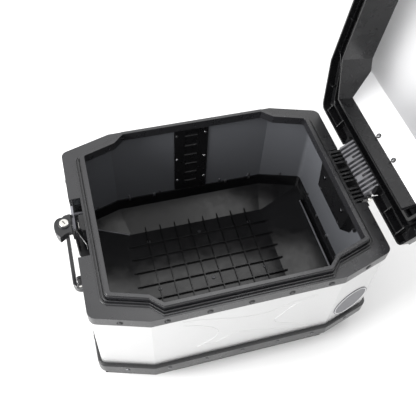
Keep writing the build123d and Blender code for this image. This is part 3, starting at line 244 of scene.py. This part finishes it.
def rubber(name, colour):
    """Dull rubber with a fine uneven skin."""
    material, tree, shader = new_material(name)
    tree.links.new(ramp(tree, noise(tree, 90.0, 4.0), colour, tuple(c * 1.5 for c in colour)),
                   shader.inputs["Base Color"])
    shader.inputs["Roughness"].default_value = RUBBER_ROUGHNESS
    bump(tree, shader, noise(tree, 1500.0, 2.0), 0.4, RUBBER_DEPTH)
    return material


PLASTICS = {                 # colour, roughness; relief, specular and edge where they differ
    "black_plastic": ((0.0045, 0.0045, 0.005), 0.30),
    "rim_plastic": ((0.013, 0.013, 0.0145), 0.30, 0.08, 0.7, 0.001),
    "lid_plastic": ((0.004, 0.004, 0.0045), 0.28, 0.08, 0.36, 0.0013),
    "grey_plastic": ((0.012, 0.012, 0.013), 0.30),
    "fin_plastic": ((0.085, 0.085, 0.092), 0.30),
    "handle_plastic": ((0.012, 0.012, 0.013), 0.18),
    "comb_plastic": ((0.014, 0.014, 0.015), 0.28),
    "tray_plastic": ((0.005, 0.005, 0.0056), 0.22, 0.05, 0.36),
    # lighter glossy grey: painted highlight on the tray's gutter bead and folds
    "bead_highlight_plastic": ((0.10, 0.10, 0.11), 0.14),
    "plate_grey": ((0.13, 0.13, 0.145), 0.40),
}
METALS = {                   # colour, roughness; metallic where it differs
    "lid_metal": ((0.84, 0.84, 0.85), 0.45),
    "badge_metal": ((0.17, 0.17, 0.18), 0.6, 0.0),
    "badge_relief": ((0.75, 0.75, 0.76), 0.5, 0.0),
    "screw_steel": ((0.07, 0.07, 0.075), 0.35),
    "rivet_metal": ((0.10, 0.10, 0.105), 0.35),
    "bright_steel": ((0.72, 0.71, 0.68), 0.30),
    "clip_metal": ((0.34, 0.34, 0.35), 0.30),
    "spring_steel": ((0.12, 0.12, 0.12), 0.30),
    "dark_rivet": ((0.03, 0.03, 0.032), 0.28),
    "emboss_metal": ((0.66, 0.66, 0.66), 0.35),
    "insert_brass": ((0.72, 0.55, 0.25), 0.35),
}
RUBBERS = {                  # colour
    # dark washers under the lid screws; also the painted shade rings round the rim rivets
    "washer_and_shade_dark": (0.02, 0.02, 0.02),
    "seal_rubber": (0.012, 0.012, 0.012),
    "foot_rubber": (0.015, 0.015, 0.015),
}
SHEET_OUTSIDE = ((0.63, 0.63, 0.63), 0.42, 1.0)   # colour, roughness, metallic
SHEET_INSIDE = ((0.115, 0.119, 0.130), 0.42, 0.25)
OWN_FINISH = {               # nodes whose finish differs from the rest of their slot
    "lid_sheet": "lid_metal",
    "rim_frame": "rim_plastic",
    "tray_clips": "clip_metal",
    "seam_rivets": "clip_metal",
    "latch_spring": "spring_steel",
    "rim_rivets": "dark_rivet",
    "hinge_bracket": "comb_plastic",
    "base_tray": "tray_plastic",
    "lid_frame": "lid_plastic",
}


def make_materials():
    made = {name: moulded_plastic(name, *look) for name, look in PLASTICS.items()}
    made.update({name: brushed_metal(name, *look) for name, look in METALS.items()})
    made.update({name: rubber(name, colour) for name, colour in RUBBERS.items()})
    made["sheet_metal"] = two_sided_sheet("sheet_metal", SHEET_OUTSIDE, SHEET_INSIDE)
    return made


def paint_cad_nodes(materials):
    """Every CAD node takes the finish that its record slot names."""
    for part in frame["record"]["subparts"]:
        node = frame["nodes"][part["node"]]
        name = OWN_FINISH.get(part["node"], part["material_slot"])
        node.data.materials.clear()
        node.data.materials.append(materials[name])


# ---- Detail pieces ---------------------------------------------------------------------------
HINGE = Vector((0.248, 0.0, 0.251))
LID_SWING = radians(96.0)
FLANGE_Z = 0.250
WALL_Y = 0.1854              # outside of the sheet's long walls
WALL_ANGLE = radians(17.32)  # turn of the chamfer walls
CHAMFER_MID = (0.1967, 0.1745)   # middle of a chamfer wall, x and y

GUTTER_BEAD = ((0.2276, -0.116, 0.0292), (0.2276, 0.116, 0.0292))
GUTTER_BEAD_R = 0.0019
FOLD_BEAD_R = 0.0015
RUNGS, RUNG_HALF, RUNG_R = 6, 0.0120, 0.0008
RUNG_Y, RUNG_DROP, RUNG_PITCH = 0.1819, 0.0327, 0.0263
EMBOSS_R, EMBOSS_SINK = 0.0010, 0.0004
# dark ring round each rim rivet: painted shade of the recess it sits in
SHADE_RING_R, SHADE_RING_BAR, SHADE_RING_DROP = 0.0044, 0.0006, 0.0115
RIVET_PITCH, RIVET_Y = 0.0645, 0.188
END_RIVET = (0.240, 0.105)   # rivets of the short walls, x and y
LID_SLOPE = atan2(0.031, 0.0405)  # tilt of the lid skin's end facets
LID_SCREW_Y = (-0.032, 0.024)
LID_SKIN, WASHER_H = 0.0015, 0.0009
BADGE_Z, BADGE_SINK = 0.122, 0.0016
BADGE_RING_R, BADGE_RING_BAR = 0.0335, 0.0007


def swung(point):
    """Where a point of the closed lid stands with the lid swung open."""
    offset = Vector(point) - HINGE
    offset.rotate(Matrix.Rotation(LID_SWING, 3, "Y"))
    return HINGE + offset


def add_piece(name, mesh, material, body):
    """Put a finished mesh in the scene, on the body it moves with."""
    piece = bpy.data.objects.new(name, mesh)
    bpy.context.scene.collection.objects.link(piece)
    for polygon in mesh.polygons:
        polygon.use_smooth = True
    mesh.materials.clear()
    mesh.materials.append(material)
    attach(piece, body)


def join_rings(shape, rings):
    """Close the walls between neighbouring rings of points."""
    for lower, upper in zip(rings, rings[1:]):
        count = len(lower)
        for k in range(count):
            shape.faces.new((lower[k], lower[(k + 1) % count], upper[(k + 1) % count], upper[k]))


def tube_into(shape, points, radius, sides=10):
    """Add a round bar along points to a mesh under construction, with rounded ends."""
    points = [Vector(p) for p in points]
    rings = []
    for index, point in enumerate(points):
        before = points[max(index - 1, 0)]
        after = points[min(index + 1, len(points) - 1)]
        along = (after - before).normalized()
        side = along.cross(Vector((0.31, 0.17, 0.93))).normalized()
        up = along.cross(side).normalized()
        ends = [(0.0, 1.0)]
        if index == 0:
            ends = [(-0.8, 0.5), (0.0, 1.0)]
        elif index == len(points) - 1:
            ends = [(0.0, 1.0), (0.8, 0.5)]
        for shift, share in ends:
            ring = []
            for k in range(sides):
                turn = 2 * pi * k / sides
                offset = (side * cos(turn) + up * sin(turn)) * radius * share
                ring.append(shape.verts.new(point + along * shift * radius + offset))
            rings.append(ring)
    join_rings(shape, rings)
    shape.faces.new(rings[0][::-1])
    shape.faces.new(rings[-1])


def ring_into(shape, centre, normal, ring_r, bar_r, steps=28, sides=8):
    """Add a torus around a point to a mesh under construction."""
    normal = Vector(normal).normalized()
    side = normal.orthogonal().normalized()
    up = normal.cross(side)
    rings = []
    for i in range(steps):
        turn = 2 * pi * i / steps
        outward = side * cos(turn) + up * sin(turn)
        ring = []
        for k in range(sides):
            tilt = 2 * pi * k / sides
            ring.append(shape.verts.new(Vector(centre) + outward * (ring_r + bar_r * cos(tilt))
                                        + normal * bar_r * sin(tilt)))
        rings.append(ring)
    join_rings(shape, rings + rings[:1])


def disc_into(shape, centre, normal, radius, height, edge=0.25, sides=32):
    """Add a low round button with a softened rim."""
    normal = Vector(normal).normalized()
    side = normal.orthogonal().normalized()
    up = normal.cross(side)
    rings = []
    for share, lift in ((1.0, 0.0), (1.0, 1.0 - edge), (1.0 - edge * 0.4, 1.0), (0.3, 1.0)):
        ring = []
        for k in range(sides):
            turn = 2 * pi * k / sides
            ring.append(shape.verts.new(Vector(centre) + normal * height * lift
                                        + (side * cos(turn) + up * sin(turn)) * radius * share))
        rings.append(ring)
    join_rings(shape, rings)
    shape.faces.new(rings[0][::-1])
    shape.faces.new(rings[-1])


def finished(shape, name):
    """Turn a mesh under construction into a mesh of its own."""
    bmesh.ops.recalc_face_normals(shape, faces=shape.faces)
    mesh = bpy.data.meshes.new(name)
    shape.to_mesh(mesh)
    shape.free()
    return mesh


def smooth_path(points, steps=8):
    """A Catmull-Rom curve through points."""
    points = [Vector(p) for p in points]
    padded = [2 * points[0] - points[1]] + points + [2 * points[-1] - points[-2]]
    path = []
    for a, b, c, d in zip(padded, padded[1:], padded[2:], padded[3:]):
        for k in range(steps):
            t = k / steps
            path.append(0.5 * (2 * b + (c - a) * t + (2 * a - 5 * b + 4 * c - d) * t * t
                               + (3 * b - a - 3 * c + d) * t ** 3))
    path.append(points[-1])
    return path


def tray_bead_highlights():
    """Rounded bead beside the gutter and along the two folds at the lock end, in lighter glossy
    grey: a painted highlight on those rounded edges.
    """
    shape = bmesh.new()
    tube_into(shape, GUTTER_BEAD, GUTTER_BEAD_R)
    for side in (-1, 1):
        fold = [(-0.143, side * 0.1257, 0.0122), (-0.226, side * 0.1523, 0.0290)]
        tube_into(shape, fold, FOLD_BEAD_R)
    add_piece("tray_bead_highlights", finished(shape, "tray_bead_highlights"), materials["bead_highlight_plastic"], "case")


def ladder_rungs():
    """Rounded fronts of the ladder's rungs on the inner seam strip."""
    shape = bmesh.new()
    for k in range(RUNGS):
        z = FLANGE_Z - RUNG_DROP - k * RUNG_PITCH
        tube_into(shape, [(-RUNG_HALF, RUNG_Y, z), (RUNG_HALF, RUNG_Y, z)], RUNG_R)
    add_piece("ladder_rungs", finished(shape, "ladder_rungs"), materials["grey_plastic"], "case")


EMBOSSED = [
    [(-0.105, 0.216), (-0.080, 0.212), (-0.043, 0.198), (-0.002, 0.185), (0.035, 0.183),
     (0.072, 0.197), (0.113, 0.206)],
    [(0.110, 0.203), (0.079, 0.188), (0.057, 0.161), (0.049, 0.144), (0.066, 0.127),
     (0.114, 0.104)],
    [(-0.080, 0.112), (-0.050, 0.115), (-0.025, 0.130), (0.003, 0.131), (0.050, 0.112),
     (0.117, 0.090)],
    [(-0.105, 0.204), (-0.078, 0.190), (-0.056, 0.172), (-0.047, 0.150), (-0.056, 0.130),
     (-0.080, 0.112)],
]


def wall_emboss():
    """Shallow raised lines pressed into both long walls."""
    for name, side in (("emboss_front", -1), ("emboss_back", 1)):
        shape = bmesh.new()
        for line in EMBOSSED:
            path = smooth_path([(side * -x, side * (WALL_Y - EMBOSS_SINK), z) for x, z in line])
            tube_into(shape, path, EMBOSS_R, 8)
        add_piece(name, finished(shape, name), materials["emboss_metal"], "case")


def rivet_shade_rings():
    """Dark rings round the rim's outer rivets: painted shade of the round recesses they sit in."""
    shape = bmesh.new()
    z = FLANGE_Z - SHADE_RING_DROP
    for side in (-1, 1):
        for k in range(-2, 3):
            ring_into(shape, (k * RIVET_PITCH, side * RIVET_Y, z), (0, side, 0), SHADE_RING_R,
                      SHADE_RING_BAR)
    for x_side in (-1, 1):
        for y_side in (-1, 1):
            ring_into(shape, (x_side * CHAMFER_MID[0], y_side * CHAMFER_MID[1], z),
                      (x_side * sin(WALL_ANGLE), y_side * cos(WALL_ANGLE), 0), SHADE_RING_R,
                      SHADE_RING_BAR)
            ring_into(shape, (x_side * END_RIVET[0], y_side * END_RIVET[1], z), (x_side, 0, 0),
                      SHADE_RING_R, SHADE_RING_BAR)
    add_piece("rivet_shade_rings", finished(shape, "rivet_shade_rings"), materials["washer_and_shade_dark"], "case")


def lid_fasteners():
    """Washers and cap nuts on the inside ends of the lid skin's screws."""
    washers = bmesh.new()
    nuts = bmesh.new()
    for side in (-1, 1):
        for y in LID_SCREW_Y:
            top = Vector((side * 0.1855, y, 0.2833))
            normal = Vector((side * sin(LID_SLOPE), 0, cos(LID_SLOPE)))
            seat = top - normal * LID_SKIN
            place = swung(seat)
            inward = swung(seat - normal * 0.01) - place
            disc_into(washers, place, inward, 0.0044, WASHER_H)
            disc_into(nuts, place + inward.normalized() * WASHER_H, inward, 0.0027, 0.0022, 0.5)
    add_piece("lid_washers", finished(washers, "lid_washers"), materials["washer_and_shade_dark"], "lid")
    add_piece("lid_cap_nuts", finished(nuts, "lid_cap_nuts"), materials["clip_metal"], "lid")


def badge_relief():
    """Plain relief on the round badge: one inner ring."""
    normal = Vector((sin(WALL_ANGLE), -cos(WALL_ANGLE), 0))
    centre = Vector((CHAMFER_MID[0], -CHAMFER_MID[1], BADGE_Z)) - normal * BADGE_SINK
    shape = bmesh.new()
    ring_into(shape, centre, normal, BADGE_RING_R, BADGE_RING_BAR, 48)
    add_piece("badge_relief", finished(shape, "badge_relief"), materials["badge_relief"], "case")


make_camera()
make_world()
materials = make_materials()
paint_cad_nodes(materials)
make_floor()
tray_bead_highlights()
ladder_rungs()
wall_emboss()
rivet_shade_rings()
lid_fasteners()
badge_relief()
for light in LIGHTS:
    area_light(*light)
